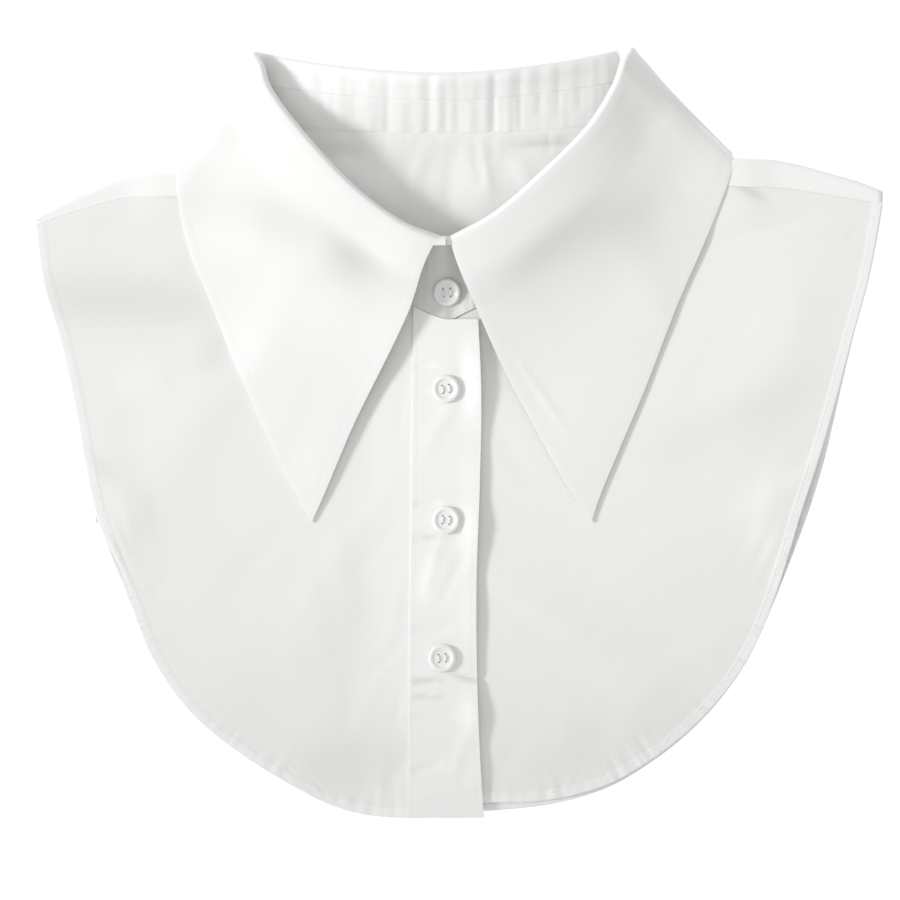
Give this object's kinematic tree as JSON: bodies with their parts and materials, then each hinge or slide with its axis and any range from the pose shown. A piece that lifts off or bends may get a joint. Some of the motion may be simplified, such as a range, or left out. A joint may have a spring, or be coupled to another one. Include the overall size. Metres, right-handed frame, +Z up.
{
  "type": "detachable shirt collar",
  "caption": "White cotton detachable shirt collar with long pointed leaves, shown buttoned and laid flat: a short false shirt front and back under a folded collar.",
  "frame": {"origin": "the middle of the part's outline as seen from above, on the surface that the collar lies on", "axes": "+X is towards the wearer's left shoulder, which is to the right in a view from above; +Y is from the hem up to the neck; +Z is up from the surface it lies on"},
  "size_m": [0.3524, 0.3202, 0.0228],
  "materials": {
    "cotton_poplin": "matte, crisp plain weave, bleached white",
    "white_button_resin": "polished cast resin with a faint pearl",
    "elastic_tape": "matte woven elastic"
  },
  "bodies": {
    "root": {"back_panel": "cotton_poplin", "front_right": "cotton_poplin", "front_left": "cotton_poplin", "placket": "cotton_poplin", "collar_band": "cotton_poplin", "collar_leaf": "cotton_poplin", "band_button": "white_button_resin", "button_1": "white_button_resin", "button_2": "white_button_resin", "button_3": "white_button_resin", "side_tape_right": "elastic_tape", "side_tape_left": "elastic_tape"}
  },
  "joints": []
}
